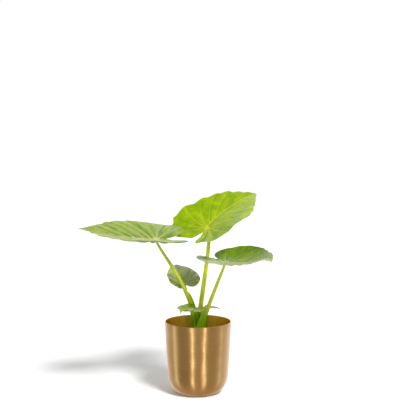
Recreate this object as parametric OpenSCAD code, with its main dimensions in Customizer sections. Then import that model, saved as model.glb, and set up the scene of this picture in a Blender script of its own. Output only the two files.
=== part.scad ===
// Alocasia in a decorative pot. A spun brass outer pot holds a plastic grower's pot
// of potting mix. A corm with roots sits in the mix, and six arrow-shaped leaves
// stand on it, each a petiole with a blade. Millimetres, +Z up, and the origin is
// the centre of the outer pot's flat base.

/* [Decorative pot] */
// Outer diameter at the rim
pot_rim_d = 200; // [196:1:206]
// Height of the pot
pot_h = 217; // [212:1:226]
// Outer diameter where the straight wall meets the round bottom
pot_low_d = 182.4; // [180:0.2:188]
// Diameter of the flat base
pot_flat_d = 93; // [86:1:96]
// Height of the round bottom
pot_corner_h = 59; // [54:1:62]
// How far the wall bulges past a straight taper
pot_bulge = 0.8; // [0:0.1:1.5]
// Thickness of the brass sheet
sheet_t = 1.2; // [1:0.1:1.4]

/* [Grower's pot and mix] */
// Outer diameter of the grower's pot at its rim
grower_rim_d = 172; // [168:1:174]
// Outer diameter of its base
grower_base_d = 112; // [108:1:114]
// Height of the grower's pot
grower_h = 158; // [152:1:160]
// Wall thickness of the grower's pot
grower_t = 1.2; // [1:0.1:1.5]
// Diameter of each drainage hole
drain_d = 9; // [6:0.5:10]
// Number of drainage holes
drain_count = 8; // [4:1:8]
// How far the mix lies below the grower's rim
mix_drop = 8; // [7:0.5:9]

/* [Corm and roots] */
// Diameter of the corm's flat top, which carries the petioles
corm_top_d = 48; // [47:0.5:50]
// Length of the corm
corm_h = 58; // [54:1:62]
// Number of main roots
root_count = 9; // [6:1:10]
// Diameter of a root
root_d = 3.4; // [3:0.1:4]
// Length of a root
root_len = 62; // [55:1:64]

/* [Leaf blades: length, half width and lobe length] */
// Newest leaf, at the top
crown_size = [224, 126, 88]; // [10:1:300]
// Large leaf to the left
left_size = [234, 93, 93]; // [10:1:300]
// Large leaf to the right
right_size = [213, 86, 72]; // [10:1:300]
// Small leaf behind the stems
rear_size = [112, 52, 24]; // [10:1:300]
// Small leaf low in front
low_left_size = [93, 38, 34]; // [10:1:300]
// Smallest leaf, low at the back
low_right_size = [38, 15, 16]; // [10:1:300]
// Thickness of a blade
blade_t = 1.2; // [1:0.1:1.5]

/* [Petioles: radius at the corm and under the blade] */
// Newest leaf
crown_radii = [8.5, 4.4]; // [2:0.1:9]
// Leaf to the left
left_radii = [7.5, 3.3]; // [2:0.1:9]
// Leaf to the right
right_radii = [8, 3]; // [2:0.1:9]
// Leaf behind the stems
rear_radii = [4, 2.4]; // [2:0.1:9]
// Leaf low in front
low_left_radii = [4, 2.2]; // [2:0.1:9]
// Leaf low at the back
low_right_radii = [3.8, 2]; // [2:0.1:9]

/* [Hidden] */

$fn = 96;
gap = 0.05;                          // stand-off where two pieces meet
brass = "#B08452";
leaf_green = "#7FA62C";
new_green = "#A5C800";
stalk_green = "#A8B814";

// Brass pot
corner_rx = (pot_low_d - pot_flat_d) / 2;
wall_steps = 12;
corner_steps = 14;

// Grower's pot: its base edge rests on the round bottom of the brass pot
grower_base_r = grower_base_d / 2;
grower_rim_r = grower_rim_d / 2;
rest_in = (grower_base_r - pot_flat_d / 2) / (corner_rx - sheet_t);
grower_z = pot_corner_h - (pot_corner_h - sheet_t) * sqrt(1 - rest_in * rest_in) + gap;
grower_top = grower_z + grower_h;
lip_w = 3;                           // turned-out lip of the grower's pot
lip_h = 7;
floor_t = 1.6;
drain_ring_r = grower_base_r * 0.72;

// Potting mix and corm
mix_top = grower_top - mix_drop;
corm_top = mix_top + 12;             // the corm's neck stands out of the mix
corm_r = corm_top_d / 2;
root_z = corm_top - corm_h + 12;

// Lower edge of the petioles
stalk_z = corm_top + gap;

// ---- Curves ---------------------------------------------------------------

function unit(v) = v / norm(v);
function bezier(a, b, c, d, t) =
    pow(1 - t, 3) * a + 3 * pow(1 - t, 2) * t * b + 3 * (1 - t) * t * t * c + t * t * t * d;

// Mean of the cosine and of the sine over an arc that turns by angle a
function mean_cos(a) = abs(a) < 0.01 ? 1 : sin(a) * 180 / (PI * a);
function mean_sin(a) = abs(a) < 0.01 ? 0 : (1 - cos(a)) * 180 / (PI * a);

// ---- Leaf shape -----------------------------------------------------------
// A leaf is [at, size, aim, droop, fold, curl, bow, form]:
//   at     where the petiole meets the blade
//   size   length ahead of the petiole, half width, length of the lobes behind it
//   aim    heading of the midrib, its pitch up, and the blade's roll
//   droop  how far the midrib, its last part and the lobes bend down
//   fold   rise of the left and of the right half from the midrib
//   curl   how far each half bends down again by its margin
//   bow    sideways bow of the midrib, and twist towards the tip
//   form   place of the widest part, fullness near the tip, openness of the notch

crown_leaf = [[29, -3, 499], crown_size, [41, 39, -16], [18, 10, -28],
              [20, -14], [-30, -12], [5, 23], [0.02, 0.76, 0.13]];
left_leaf = [[-121, -58, 470.5], left_size, [195, 4, -14], [-11, 3, -11],
             [-1, 17], [-34, 8], [5, -5], [0.20, 0.39, 0.15]];
right_leaf = [[81.4, -64, 405.7], right_size, [-37, -1, -21], [-9, 47, -26],
              [23, -25], [-55, -15], [-44, 10], [0.15, 0.76, 0.06]];
rear_leaf = [[-40, 12, 329.5], rear_size, [114, 31, -11], [11, 10, 9],
             [23, 13], [9, 14], [-10, 8], [0.15, 0.55, 0.10]];
low_left_leaf = [[-18.3, -56, 262.9], low_left_size, [239, -2, -6], [-22, 68, -8],
                 [3, 8], [0, 2], [22, 6], [0.07, 0.43, 0.08]];
low_right_leaf = [[31, 14, 254.5], low_right_size, [12, 4, 0], [12, 30, 10],
                  [14, 10], [10, 10], [0, 0], [0.06, 0.50, 0.15]];

notch = 0.03;                        // the notch stops this share of the length behind the petiole
straight_share = 0.72;               // the midrib's last part starts here
half_points = 10;                    // points on each of the two curves of one half
rings = 5;                           // rings from the petiole out to the margin

// Outline of one half, from the notch round the lobe to the tip, as [ahead, across]
function lobe_curve(size, form) = [for (i = [0 : half_points])
    bezier([-notch * size[0], 0],
           [-notch * size[0] - 1.38 * size[2], form[2] * size[1]],
           [-1.22 * size[2], 1.02 * size[1]],
           [form[0] * size[0], size[1]], i / half_points)];
function front_curve(size, form) = [for (i = [1 : half_points])
    bezier([form[0] * size[0], size[1]],
           [(form[0] + 0.4) * size[0], 0.98 * size[1]],
           [0.78 * size[0], form[1] * 0.5 * size[1]],
           [size[0], 0], i / half_points)];
function half_outline(leaf) = concat(lobe_curve(leaf[1], leaf[7]), front_curve(leaf[1], leaf[7]));
function flipped(p) = [p[0], -p[1]];
function outline(leaf) = let (half = half_outline(leaf), n = len(half))
    concat(half, [for (i = [n - 2 : -1 : 1]) flipped(half[i])]);

// Midrib: [x, z, angle down] at a distance ahead of the petiole
function midrib(leaf, ahead) = let (
        length = leaf[1][0], droop = leaf[3], bend_at = straight_share * length)
    ahead < 0 ? let (a = droop[2] * ahead / leaf[1][2])
        [ahead * mean_cos(a), -ahead * mean_sin(a), a]
    : ahead < bend_at ? let (a = droop[0] * ahead / bend_at)
        [ahead * mean_cos(a), -ahead * mean_sin(a), a]
    : let (a = droop[0],
           past = ahead - bend_at,
           b = droop[1] * past / (length - bend_at),
           x = past * mean_cos(b),
           z = -past * mean_sin(b))
        [bend_at * mean_cos(a) + x * cos(a) + z * sin(a),
         -bend_at * mean_sin(a) - x * sin(a) + z * cos(a), a + b];

// A blade point in the leaf's own axes: ahead, across, and above the upper face
function bent(leaf, ahead, across, above) = let (
        side = across >= 0 ? 0 : 1,
        run = abs(across),
        fold = leaf[4][side],
        curl = leaf[5][side] * run / leaf[1][1],
        out = run * (sin(fold) * mean_sin(curl) + cos(fold) * mean_cos(curl)),
        rise = run * (sin(fold) * mean_cos(curl) - cos(fold) * mean_sin(curl)) + above,
        twist = leaf[6][1] * max(ahead, 0) / leaf[1][0],
        y = (across >= 0 ? out : -out) * cos(twist) - rise * sin(twist),
        z = (across >= 0 ? out : -out) * sin(twist) + rise * cos(twist),
        rib = midrib(leaf, ahead),
        bow = leaf[6][0] * PI / 360 * pow(max(ahead, 0), 2) / leaf[1][0])
    [rib[0] + z * sin(rib[2]), y + bow, rib[1] + z * cos(rib[2])];

// The leaf's axes in the room: along the midrib, to its left, and up from the blade
function leaf_axes(aim) = let (
        along = [cos(aim[0]) * cos(aim[1]), sin(aim[0]) * cos(aim[1]), sin(aim[1])],
        level = [-sin(aim[0]), cos(aim[0]), 0],
        up = cross(along, level))
    [along, cos(aim[2]) * level + sin(aim[2]) * up, cos(aim[2]) * up - sin(aim[2]) * level];
function placed(leaf, ahead, across, above) = let (
        p = bent(leaf, ahead, across, above), axes = leaf_axes(leaf[2]))
    leaf[0] + p[0] * axes[0] + p[1] * axes[1] + p[2] * axes[2];

// ---- Modules --------------------------------------------------------------

// A blade: rings of points from the petiole out to the margin, on both faces
module blade(leaf) {
    edge = outline(leaf);
    n = len(edge);
    layer = 1 + rings * n;
    points = [for (above = [0, -blade_t]) each concat(
        [placed(leaf, 0, 0, above)],
        [for (r = [1 : rings], p = edge) placed(leaf, p[0] * r / rings, p[1] * r / rings, above)])];
    function at(face, r, i) = face * layer + 1 + (r - 1) * n + i % n;
    upper = [for (i = [0 : n - 1]) each concat([[0, at(0, 1, i), at(0, 1, i + 1)]],
        [for (r = [1 : rings - 1]) each [
            [at(0, r, i), at(0, r + 1, i), at(0, r + 1, i + 1)],
            [at(0, r, i), at(0, r + 1, i + 1), at(0, r, i + 1)]]])];
    lower = [for (i = [0 : n - 1]) each concat([[layer, at(1, 1, i + 1), at(1, 1, i)]],
        [for (r = [1 : rings - 1]) each [
            [at(1, r, i), at(1, r + 1, i + 1), at(1, r + 1, i)],
            [at(1, r, i), at(1, r, i + 1), at(1, r + 1, i + 1)]]])];
    rim = [for (i = [0 : n - 1]) each [
        [at(0, rings, i + 1), at(0, rings, i), at(1, rings, i)],
        [at(0, rings, i + 1), at(1, rings, i), at(1, rings, i + 1)]]];
    polyhedron(points, concat(upper, lower, rim));
}

// A petiole: a round tube along a curve from the corm up to the underside of the blade
stalk_sides = 12;
stalk_rings = 18;
module petiole(leaf, foot, lower_pull, upper_pull, radii) {
    start = [foot[0], foot[1], stalk_z];
    end = placed(leaf, 0, 0, -blade_t - radii[1]);
    axes = leaf_axes(leaf[2]);
    function centre(t) = bezier(start, lower_pull, upper_pull, end, t);
    function radius(t) = radii[1] + (radii[0] - radii[1]) * pow(1 - t, 1.2);
    function turn(k) = 360 * k / stalk_sides;
    // Two directions square to the stalk at t
    function square(t) = let (
            along = unit(centre(min(t + 0.01, 1)) - centre(max(t - 0.01, 0))),
            right = unit(cross([0, 1, 0], along)))
        [right, cross(along, right)];
    // The foot lies flat on the corm, and the top ring lies on the blade's underside
    function ring(j) = let (t = j / stalk_rings, s = square(t)) [for (k = [0 : stalk_sides - 1])
        let (arm = radius(t) * (s[0] * cos(turn(k)) + s[1] * sin(turn(k))))
        j == 0 ? [start[0] + arm[0], start[1] + arm[1], start[2]]
        : j == stalk_rings ? placed(leaf, arm * axes[0], arm * axes[1], -blade_t - gap)
        : centre(t) + arm];
    points = concat([for (j = [0 : stalk_rings]) each ring(j)],
        [start, placed(leaf, 0, 0, -blade_t - gap)]);
    foot_point = len(points) - 2;
    top_point = len(points) - 1;
    function at(j, k) = j * stalk_sides + k % stalk_sides;
    sides = [for (j = [0 : stalk_rings - 1], k = [0 : stalk_sides - 1]) each [
        [at(j, k), at(j + 1, k), at(j + 1, k + 1)],
        [at(j, k), at(j + 1, k + 1), at(j, k + 1)]]];
    ends = [for (k = [0 : stalk_sides - 1]) each [
        [foot_point, at(0, k), at(0, k + 1)],
        [top_point, at(stalk_rings, k + 1), at(stalk_rings, k)]]];
    polyhedron(points, concat(sides, ends));
}

// Half section of the brass pot's outer face, drawn inset by the sheet for the inner face
function pot_side(inset) = concat(
    [for (i = [0 : corner_steps]) let (a = 90 * i / corner_steps)
        [pot_flat_d / 2 + (corner_rx - inset) * sin(a),
         pot_corner_h - (pot_corner_h - inset) * cos(a)]],
    [for (i = [1 : wall_steps]) let (u = i / wall_steps)
        [pot_low_d / 2 + (pot_rim_d - pot_low_d) / 2 * u + 4 * pot_bulge * u * (1 - u) - inset,
         pot_corner_h + (pot_h - pot_corner_h) * u]]);
module decorative_pot() {
    color(brass) rotate_extrude()
        polygon(concat([[0, 0]], pot_side(0),
            [for (i = [wall_steps + corner_steps : -1 : 0]) pot_side(sheet_t)[i]], [[0, sheet_t]]));
}

// Radius of the grower's pot's outer wall at a height above its own base
function grower_r(h) = grower_base_r + (grower_rim_r - lip_w - grower_base_r) * h / grower_h;
module grower_pot() {
    color("#2E3234") translate([0, 0, grower_z]) difference() {
        rotate_extrude() polygon([
            [0, 0], [grower_base_r, 0], [grower_r(grower_h - lip_h), grower_h - lip_h],
            [grower_rim_r, grower_h - lip_h], [grower_rim_r, grower_h],
            [grower_r(grower_h) - grower_t, grower_h],
            [grower_base_r - grower_t, floor_t], [0, floor_t]]);
        for (i = [0 : drain_count - 1]) rotate(360 * i / drain_count)
            translate([drain_ring_r, 0, -1]) cylinder(d = drain_d, h = floor_t + 2);
    }
}

// Radius of the mix at a height in the room, just inside the grower's pot
function mix_r(z) = grower_base_r - grower_t - gap
    + (grower_r(grower_h) - grower_base_r) * (z - grower_z - floor_t) / (grower_h - floor_t);
module potting_mix() {
    foot = grower_z + floor_t + gap;
    color("#4A3526") difference() {
        rotate_extrude() polygon([[0, foot], [mix_r(foot), foot], [mix_r(mix_top), mix_top],
            [0, mix_top]]);
        corm_shape(gap);
    }
}

// The corm's body and its roots, grown all over by a clearance to cut the hole in the mix
module corm_shape(grow) {
    rotate_extrude() polygon([
        [0, corm_top - corm_h - grow], [corm_r * 0.55 + grow, corm_top - corm_h - grow],
        [corm_r * 0.95 + grow, corm_top - corm_h * 0.7], [corm_r * 1.05 + grow, corm_top - corm_h * 0.4],
        [corm_r + grow, corm_top - 6], [corm_r + grow, corm_top], [0, corm_top]]);
    for (i = [0 : root_count - 1]) rotate(360 * i / root_count + 12) {
        translate([corm_r * 0.6, 0, root_z]) rotate([0, 118 + 14 * (i % 3), 0])
            cylinder(d = root_d + 2 * grow, h = root_len + grow, $fn = 24);
    }
}
module corm_and_roots() { color("#8A6B48") corm_shape(0); }

module crown_petiole() {
    color(stalk_green) petiole(crown_leaf, [1, 11], [-6, 6, 217], [41, 0, 437], crown_radii);
}
module left_petiole() {
    color(stalk_green) petiole(left_leaf, [-9, -3], [8, -10, 295], [-117, -37, 435], left_radii);
}
module right_petiole() {
    color(stalk_green) petiole(right_leaf, [11, -9], [-8, -15, 187], [82, -42, 392], right_radii);
}
module rear_petiole() {
    color(stalk_green) petiole(rear_leaf, [-15, 9.5], [-12, 12, 225], [-31, 14, 292], rear_radii);
}
module low_left_petiole() {
    color(stalk_green) petiole(low_left_leaf, [-8, -17], [-10, -20, 205], [-15, -42, 243],
        low_left_radii);
}
module low_right_petiole() {
    color(stalk_green) petiole(low_right_leaf, [16, 6], [20, 8, 205], [27, 13, 235],
        low_right_radii);
}
module crown_blade() { color(new_green) blade(crown_leaf); }
module left_blade() { color(leaf_green) blade(left_leaf); }
module right_blade() { color(leaf_green) blade(right_leaf); }
module rear_blade() { color(leaf_green) blade(rear_leaf); }
module low_left_blade() { color(leaf_green) blade(low_left_leaf); }
module low_right_blade() { color(leaf_green) blade(low_right_leaf); }

decorative_pot();
grower_pot();
potting_mix();
corm_and_roots();
crown_petiole();
crown_blade();
left_petiole();
left_blade();
right_petiole();
right_blade();
rear_petiole();
rear_blade();
low_left_petiole();
low_left_blade();
low_right_petiole();
low_right_blade();
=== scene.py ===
"""An alocasia in a brass pot: every visible piece, its material and the studio, built round the
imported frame. Metres, +Z up, and the origin is the centre of the brass pot's flat base."""

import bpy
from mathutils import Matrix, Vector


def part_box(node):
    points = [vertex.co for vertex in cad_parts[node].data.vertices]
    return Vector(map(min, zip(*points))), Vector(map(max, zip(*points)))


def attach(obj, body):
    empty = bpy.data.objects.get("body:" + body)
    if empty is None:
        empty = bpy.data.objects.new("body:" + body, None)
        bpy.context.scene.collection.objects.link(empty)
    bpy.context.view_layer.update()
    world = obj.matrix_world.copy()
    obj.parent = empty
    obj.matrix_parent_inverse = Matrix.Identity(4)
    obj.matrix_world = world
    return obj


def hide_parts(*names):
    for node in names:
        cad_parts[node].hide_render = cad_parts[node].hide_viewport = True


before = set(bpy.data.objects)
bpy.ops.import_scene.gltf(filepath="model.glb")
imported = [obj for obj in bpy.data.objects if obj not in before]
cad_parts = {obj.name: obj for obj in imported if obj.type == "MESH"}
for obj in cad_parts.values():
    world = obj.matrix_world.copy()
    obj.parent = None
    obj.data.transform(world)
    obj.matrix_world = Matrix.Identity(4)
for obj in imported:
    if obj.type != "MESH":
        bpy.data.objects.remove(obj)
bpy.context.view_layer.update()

import math
import random

import bmesh
import bpy
import numpy as np
from mathutils import Vector, noise


# ---- Small helpers ----------------------------------------------------------

def deselect():
    """Nothing is selected afterwards."""
    bpy.ops.object.select_all(action="DESELECT")


def pick(piece):
    """The piece is the only one selected, and the active one."""
    deselect()
    piece.select_set(True)
    bpy.context.view_layer.objects.active = piece


def hand_over(piece, node, slot, *materials):
    """The piece stands for a CAD node, wears the given materials, and rides on the body; the slot is
    not used.
    """
    for material in materials:
        piece.data.materials.append(material)
    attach(piece, "root")
    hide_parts(node)
    return piece


def make_piece(name, points, faces):
    """A new piece from a list of points and a list of faces."""
    mesh = bpy.data.meshes.new(name)
    mesh.from_pydata(points, [], faces)
    piece = bpy.data.objects.new(name, mesh)
    bpy.context.scene.collection.objects.link(piece)
    return piece


def add_point_values(piece, name, values):
    """Stores one number or one vector per point, for a material to read."""
    values = np.asarray(values, np.float32)
    if values.ndim == 1:
        piece.data.attributes.new(name, "FLOAT", "POINT").data.foreach_set("value", values)
    else:
        store = piece.data.attributes.new(name, "FLOAT_VECTOR", "POINT")
        store.data.foreach_set("vector", values.ravel())


def close_up(piece):
    """Merges points within a hundredth of a millimetre and turns the faces outwards."""
    work = bmesh.new()
    work.from_mesh(piece.data)
    bmesh.ops.remove_doubles(work, verts=work.verts, dist=0.00001)
    bmesh.ops.recalc_face_normals(work, faces=work.faces)
    work.to_mesh(piece.data)
    work.free()
    piece.data.update()


def smooth(piece, angle=40):
    """Smooth shading, with edges sharper than the angle left crisp."""
    pick(piece)
    bpy.ops.object.shade_smooth_by_angle(angle=math.radians(angle))


def ease(low, high, value):
    """0 below low, 1 above high, and a smooth step between them."""
    share = np.clip((value - low) / (high - low), 0, 1)
    return share * share * (3 - 2 * share)


def turned(name, rings, sides):
    """A turned piece: a disc whose edge is extruded and resized through (radius, height) rings,
    and closed to a point at the last one."""
    radius, height = rings[0]
    deselect()
    bpy.ops.mesh.primitive_circle_add(vertices=sides, radius=radius, fill_type="TRIFAN",
                                      location=(0, 0, height))
    piece = bpy.context.object
    piece.name = piece.data.name = name
    pick(piece)
    bpy.ops.object.transform_apply(location=True, rotation=True, scale=True)
    bpy.ops.object.mode_set(mode="EDIT")
    bpy.ops.mesh.select_mode(type="EDGE")
    bpy.ops.mesh.select_all(action="DESELECT")
    work = bmesh.from_edit_mesh(piece.data)
    for edge in work.edges:
        edge.select_set(edge.is_boundary)
    bmesh.update_edit_mesh(piece.data)
    for next_radius, next_height in rings[1:]:
        step = (0, 0, next_height - height)
        bpy.ops.mesh.extrude_region_move(TRANSFORM_OT_translate={"value": step})
        grow = next_radius / radius
        bpy.ops.transform.resize(value=(grow, grow, 1), center_override=(0, 0, next_height))
        radius, height = next_radius, next_height
    bpy.ops.mesh.merge(type="CENTER")
    bpy.ops.mesh.select_all(action="SELECT")
    bpy.ops.mesh.normals_make_consistent(inside=False)
    bpy.ops.object.mode_set(mode="OBJECT")
    return piece


# ---- Material nodes ---------------------------------------------------------

def new_material(name):
    """An empty node material and its tree."""
    material = bpy.data.materials.new(name)
    material.use_nodes = True
    material.node_tree.nodes.clear()
    return material, material.node_tree


def node(tree, kind, inputs=None, **settings):
    """Adds a shader node. An input is a plain value, or the output that feeds it."""
    made = tree.nodes.new("ShaderNode" + kind)
    for name, value in settings.items():
        setattr(made, name, value)
    for name, value in (inputs or {}).items():
        if isinstance(value, bpy.types.NodeSocket):
            tree.links.new(value, made.inputs[name])
        else:
            made.inputs[name].default_value = value
    return made


def rgb(red, green, blue):
    """A colour socket's value."""
    return (red, green, blue, 1)


def mixed(tree, factor, first, second, blend="MIX"):
    """The first colour turned into the second one by a factor."""
    made = node(tree, "Mix", data_type="RGBA", blend_type=blend)
    for index, value in ((0, factor), (6, first), (7, second)):
        if isinstance(value, bpy.types.NodeSocket):
            tree.links.new(value, made.inputs[index])
        else:
            made.inputs[index].default_value = value
    return made.outputs[2]


def reckon(tree, operation, first, second=0.0):
    """One step of arithmetic."""
    return node(tree, "Math", {0: first, 1: second}, operation=operation).outputs[0]


def spread(tree, value, low, high, to_low=0.0, to_high=1.0):
    """A value's range stretched to another one, with smooth ends."""
    return node(tree, "MapRange", {"Value": value, "From Min": low, "From Max": high,
                                   "To Min": to_low, "To Max": to_high},
                interpolation_type="SMOOTHSTEP").outputs["Result"]


def scaled(tree, vector, scale):
    """Coordinates multiplied by a scale."""
    return node(tree, "Mapping", {"Vector": vector, "Scale": scale}).outputs[0]


def object_points(tree):
    """The piece's own coordinates, in metres."""
    return node(tree, "TexCoord").outputs["Object"]


def stored(tree, name, output="Fac"):
    """A value stored on the piece's points."""
    return node(tree, "Attribute", attribute_name=name).outputs[output]


def cloud(tree, vector, scale, detail=3, roughness=0.55):
    """Soft noise from 0 to 1."""
    return node(tree, "TexNoise", {"Vector": vector, "Scale": scale, "Detail": detail,
                                   "Roughness": roughness}).outputs["Fac"]


def bumped(tree, height, distance, strength=1.0, under=None):
    """A normal that follows a height, on top of another one."""
    inputs = {"Height": height, "Distance": distance, "Strength": strength}
    if under is not None:
        inputs["Normal"] = under
    return node(tree, "Bump", inputs).outputs["Normal"]


def surface(tree, inputs):
    """The Principled shader, wired to the output."""
    shader = node(tree, "BsdfPrincipled", inputs)
    node(tree, "OutputMaterial", {"Surface": shader.outputs[0]})


# ---- Brass pot --------------------------------------------------------------

POT_RIM_R = 0.100
POT_HEIGHT = 0.217
POT_LOW_R = 0.0912       # where the round bottom meets the straight wall
POT_FLAT_R = 0.0465      # of the flat that the pot stands on
POT_CORNER = 0.059       # height of the round bottom
POT_BULGE = 0.0008       # of the wall, halfway up
SHEET = 0.0012           # thickness of the brass
SPIN_WAVE = 0.00028      # depth of the waves left by spinning
POT_SIDES = 288
CORNER_STEPS = 24
WALL_STEPS = 40


def pot_wall_radius(height, inset=0.0):
    """The straight wall's outer radius at a height, less an inset."""
    share = (height - POT_CORNER) / (POT_HEIGHT - POT_CORNER)
    return (POT_LOW_R + (POT_RIM_R - POT_LOW_R) * share
            + 4 * POT_BULGE * share * (1 - share) - inset)


def pot_rings(inset, rim):
    """Rings of one face of the brass sheet, from the flat base up to the rim."""
    width = POT_LOW_R - POT_FLAT_R - inset
    rings = [(share * POT_FLAT_R, inset) for share in (0.25, 0.5, 0.75, 0.93)]
    for step in range(CORNER_STEPS + 1):
        angle = math.pi / 2 * step / CORNER_STEPS
        rings.append((POT_FLAT_R + width * math.sin(angle),
                      POT_CORNER - (POT_CORNER - inset) * math.cos(angle)))
    for step in range(1, WALL_STEPS + 1):
        height = POT_CORNER + (rim - POT_CORNER) * step / WALL_STEPS
        rings.append((pot_wall_radius(height, inset), height))
    return rings


def hand_spun(piece, depth):
    """Gives the wall the slight waves that spinning leaves, the same on both faces."""
    for point in piece.data.vertices:
        place = point.co
        radius = math.hypot(place.x, place.y)
        if radius > POT_FLAT_R:
            around = Vector((place.x / radius, place.y / radius, 0)) * 2.6
            wave = noise.noise(around + Vector((3.1, 1.7, place.z * 16)))
            wave += 0.45 * noise.noise(around * 2.3 + Vector((9.2, 4.4, place.z * 30)))
            fade = min(1.0, (radius - POT_FLAT_R) / 0.03)
            grow = 1 + depth * wave * fade / radius
            place.x *= grow
            place.y *= grow


def brass_material():
    """Brushed brass: fine rings round the pot, a soft tarnish and a few faint scratches, with painted
    shade on the foot and a painted inter-reflection in a deeper gold on the inside wall.
    """
    material, tree = new_material("brushed_brass")
    points = object_points(tree)
    hairline = cloud(tree, scaled(tree, points, (6, 6, 2600)), 1, 4, 0.7)
    band = cloud(tree, scaled(tree, points, (4, 4, 240)), 1, 3)
    tarnish = cloud(tree, scaled(tree, points, (1, 1, 1.6)), 16, 3)
    warm = mixed(tree, spread(tree, tarnish, 0.35, 0.68), rgb(0.87, 0.57, 0.235),
                 rgb(0.81, 0.495, 0.19))
    streaked = mixed(tree, spread(tree, band, 0.3, 0.75, 0, 0.15), warm, rgb(0.93, 0.64, 0.32))
    height = node(tree, "SeparateXYZ", {0: points}).outputs["Z"]
    # Painted shade: the foot, within 12 mm of the base, is darkened to a deep copper where the pot
    # meets the floor.
    foot = spread(tree, height, 0.012, 0.0)
    outside = mixed(tree, reckon(tree, "MULTIPLY", foot, 0.6), streaked, rgb(0.52, 0.26, 0.13))
    # Painted reflection: the inside of the wall, facing the axis, gets a deeper, yellower gold that
    # stands in for light bouncing round inside the pot.
    facing = node(tree, "VectorMath", {0: node(tree, "NewGeometry").outputs["Normal"],
                                       1: scaled(tree, points, (1, 1, 0))},
                  operation="DOT_PRODUCT").outputs["Value"]
    colour = mixed(tree, spread(tree, facing, -0.01, -0.05), outside, rgb(0.98, 0.72, 0.09))
    rough = reckon(tree, "ADD", spread(tree, hairline, 0.3, 0.7, 0.27, 0.33),
                   spread(tree, tarnish, 0.4, 0.7, 0.0, 0.04))
    grooves = bumped(tree, hairline, 0.00002, 0.25)
    along = node(tree, "Tangent", direction_type="RADIAL", axis="Z").outputs[0]
    surface(tree, {"Base Color": colour, "Metallic": 1.0, "Roughness": rough, "Normal": grooves,
                   "Tangent": along, "Anisotropic": 0.8, "Anisotropic Rotation": 0.25})
    return material


def brass_pot(brass):
    """One turned sheet of brass with a rolled-smooth cut rim."""
    edge = SHEET / 2
    outer = pot_rings(0.0, POT_HEIGHT - edge)
    inner = pot_rings(SHEET, POT_HEIGHT - edge)
    middle = pot_wall_radius(POT_HEIGHT) - edge
    rim = []
    for degrees in (30, 60, 90, 120, 150):
        turn = math.radians(degrees)
        rim.append((middle + edge * math.cos(turn), POT_HEIGHT - edge + edge * math.sin(turn)))
    piece = turned("decorative_pot_sheet", outer + rim + inner[::-1], POT_SIDES)
    hand_spun(piece, SPIN_WAVE)
    smooth(piece, 60)
    return hand_over(piece, "decorative_pot", "brushed_brass", brass)


# ---- Grower's pot, mix, corm and roots --------------------------------------

GROWER_LOW, GROWER_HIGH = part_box("grower_pot")
MIX_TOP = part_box("potting_mix")[1].z
CORM_LOW, CORM_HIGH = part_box("corm_and_roots")
GROWER_BASE_R = 0.056
LIP_WIDTH = 0.003
LIP_HEIGHT = 0.007
GROWER_WALL = 0.0012
GROWER_FLOOR = 0.0016
DRAIN_R = 0.0045
DRAIN_RING_R = 0.72 * GROWER_BASE_R
DRAIN_COUNT = 8
MIX_GAP = 0.0003         # between the mix and the grower's pot
BARK_COUNT = 230
PERLITE_COUNT = 150
CORM_TOP_R = 0.024
CORM_NECK_R = 0.0145     # under the swelling, where the roots start
CORM_BODY_H = 0.058
ROOT_COUNT = 9
ROOT_STEPS = 14
ROOT_LENGTH = 0.062


def plastic_material():
    """Moulded black plastic with a fine grain and some dust."""
    material, tree = new_material("grower_plastic")
    points = object_points(tree)
    grain = cloud(tree, points, 900, 2)
    dust = cloud(tree, points, 38, 4)
    colour = mixed(tree, spread(tree, dust, 0.45, 0.8, 0, 0.5), rgb(0.018, 0.019, 0.020),
                   rgb(0.075, 0.068, 0.058))
    surface(tree, {"Base Color": colour, "Roughness": spread(tree, dust, 0.3, 0.8, 0.42, 0.7),
                   "Normal": bumped(tree, grain, 0.00006, 0.4)})
    return material


def grower_pot(plastic):
    """A thin moulded pot with a turned-out lip and a ring of drainage holes."""
    low, high = GROWER_LOW.z, GROWER_HIGH.z
    base_r = GROWER_BASE_R
    rim_r = GROWER_HIGH.x
    wall_r = rim_r - LIP_WIDTH
    lip = high - LIP_HEIGHT

    def wall(height, inset=0.0):
        return base_r + (wall_r - base_r) * (height - low) / (high - low) - inset

    heights = [low + (lip - low) * step / 12 for step in range(1, 12)]
    rings = [(0.02, low), (0.04, low), (base_r - 0.001, low), (base_r, low + 0.001)]
    rings += [(wall(height), height) for height in heights]
    rings += [(wall(lip) + 0.0002, lip), (rim_r - 0.0006, lip), (rim_r, lip + 0.0006),
              (rim_r, high - 0.0008), (rim_r - 0.0008, high),
              (wall(high, GROWER_WALL) + 0.0006, high), (wall(high, GROWER_WALL), high - 0.0006)]
    rings += [(wall(height, GROWER_WALL), height) for height in reversed(heights)]
    rings += [(base_r - GROWER_WALL, low + GROWER_FLOOR), (0.02, low + GROWER_FLOOR)]
    piece = turned("grower_pot_moulding", rings, 96)
    for index in range(DRAIN_COUNT):
        turn = 2 * math.pi * index / DRAIN_COUNT
        deselect()
        bpy.ops.mesh.primitive_cylinder_add(
            vertices=24, radius=DRAIN_R, depth=0.01,
            location=(DRAIN_RING_R * math.cos(turn), DRAIN_RING_R * math.sin(turn), low))
        drill = bpy.context.object
        pick(piece)
        cut = piece.modifiers.new("drain", "BOOLEAN")
        cut.operation = "DIFFERENCE"
        cut.object = drill
        bpy.ops.object.modifier_apply(modifier=cut.name)
        bpy.data.objects.remove(drill)
    smooth(piece, 35)
    return hand_over(piece, "grower_pot", "grower_plastic", plastic)


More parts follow.
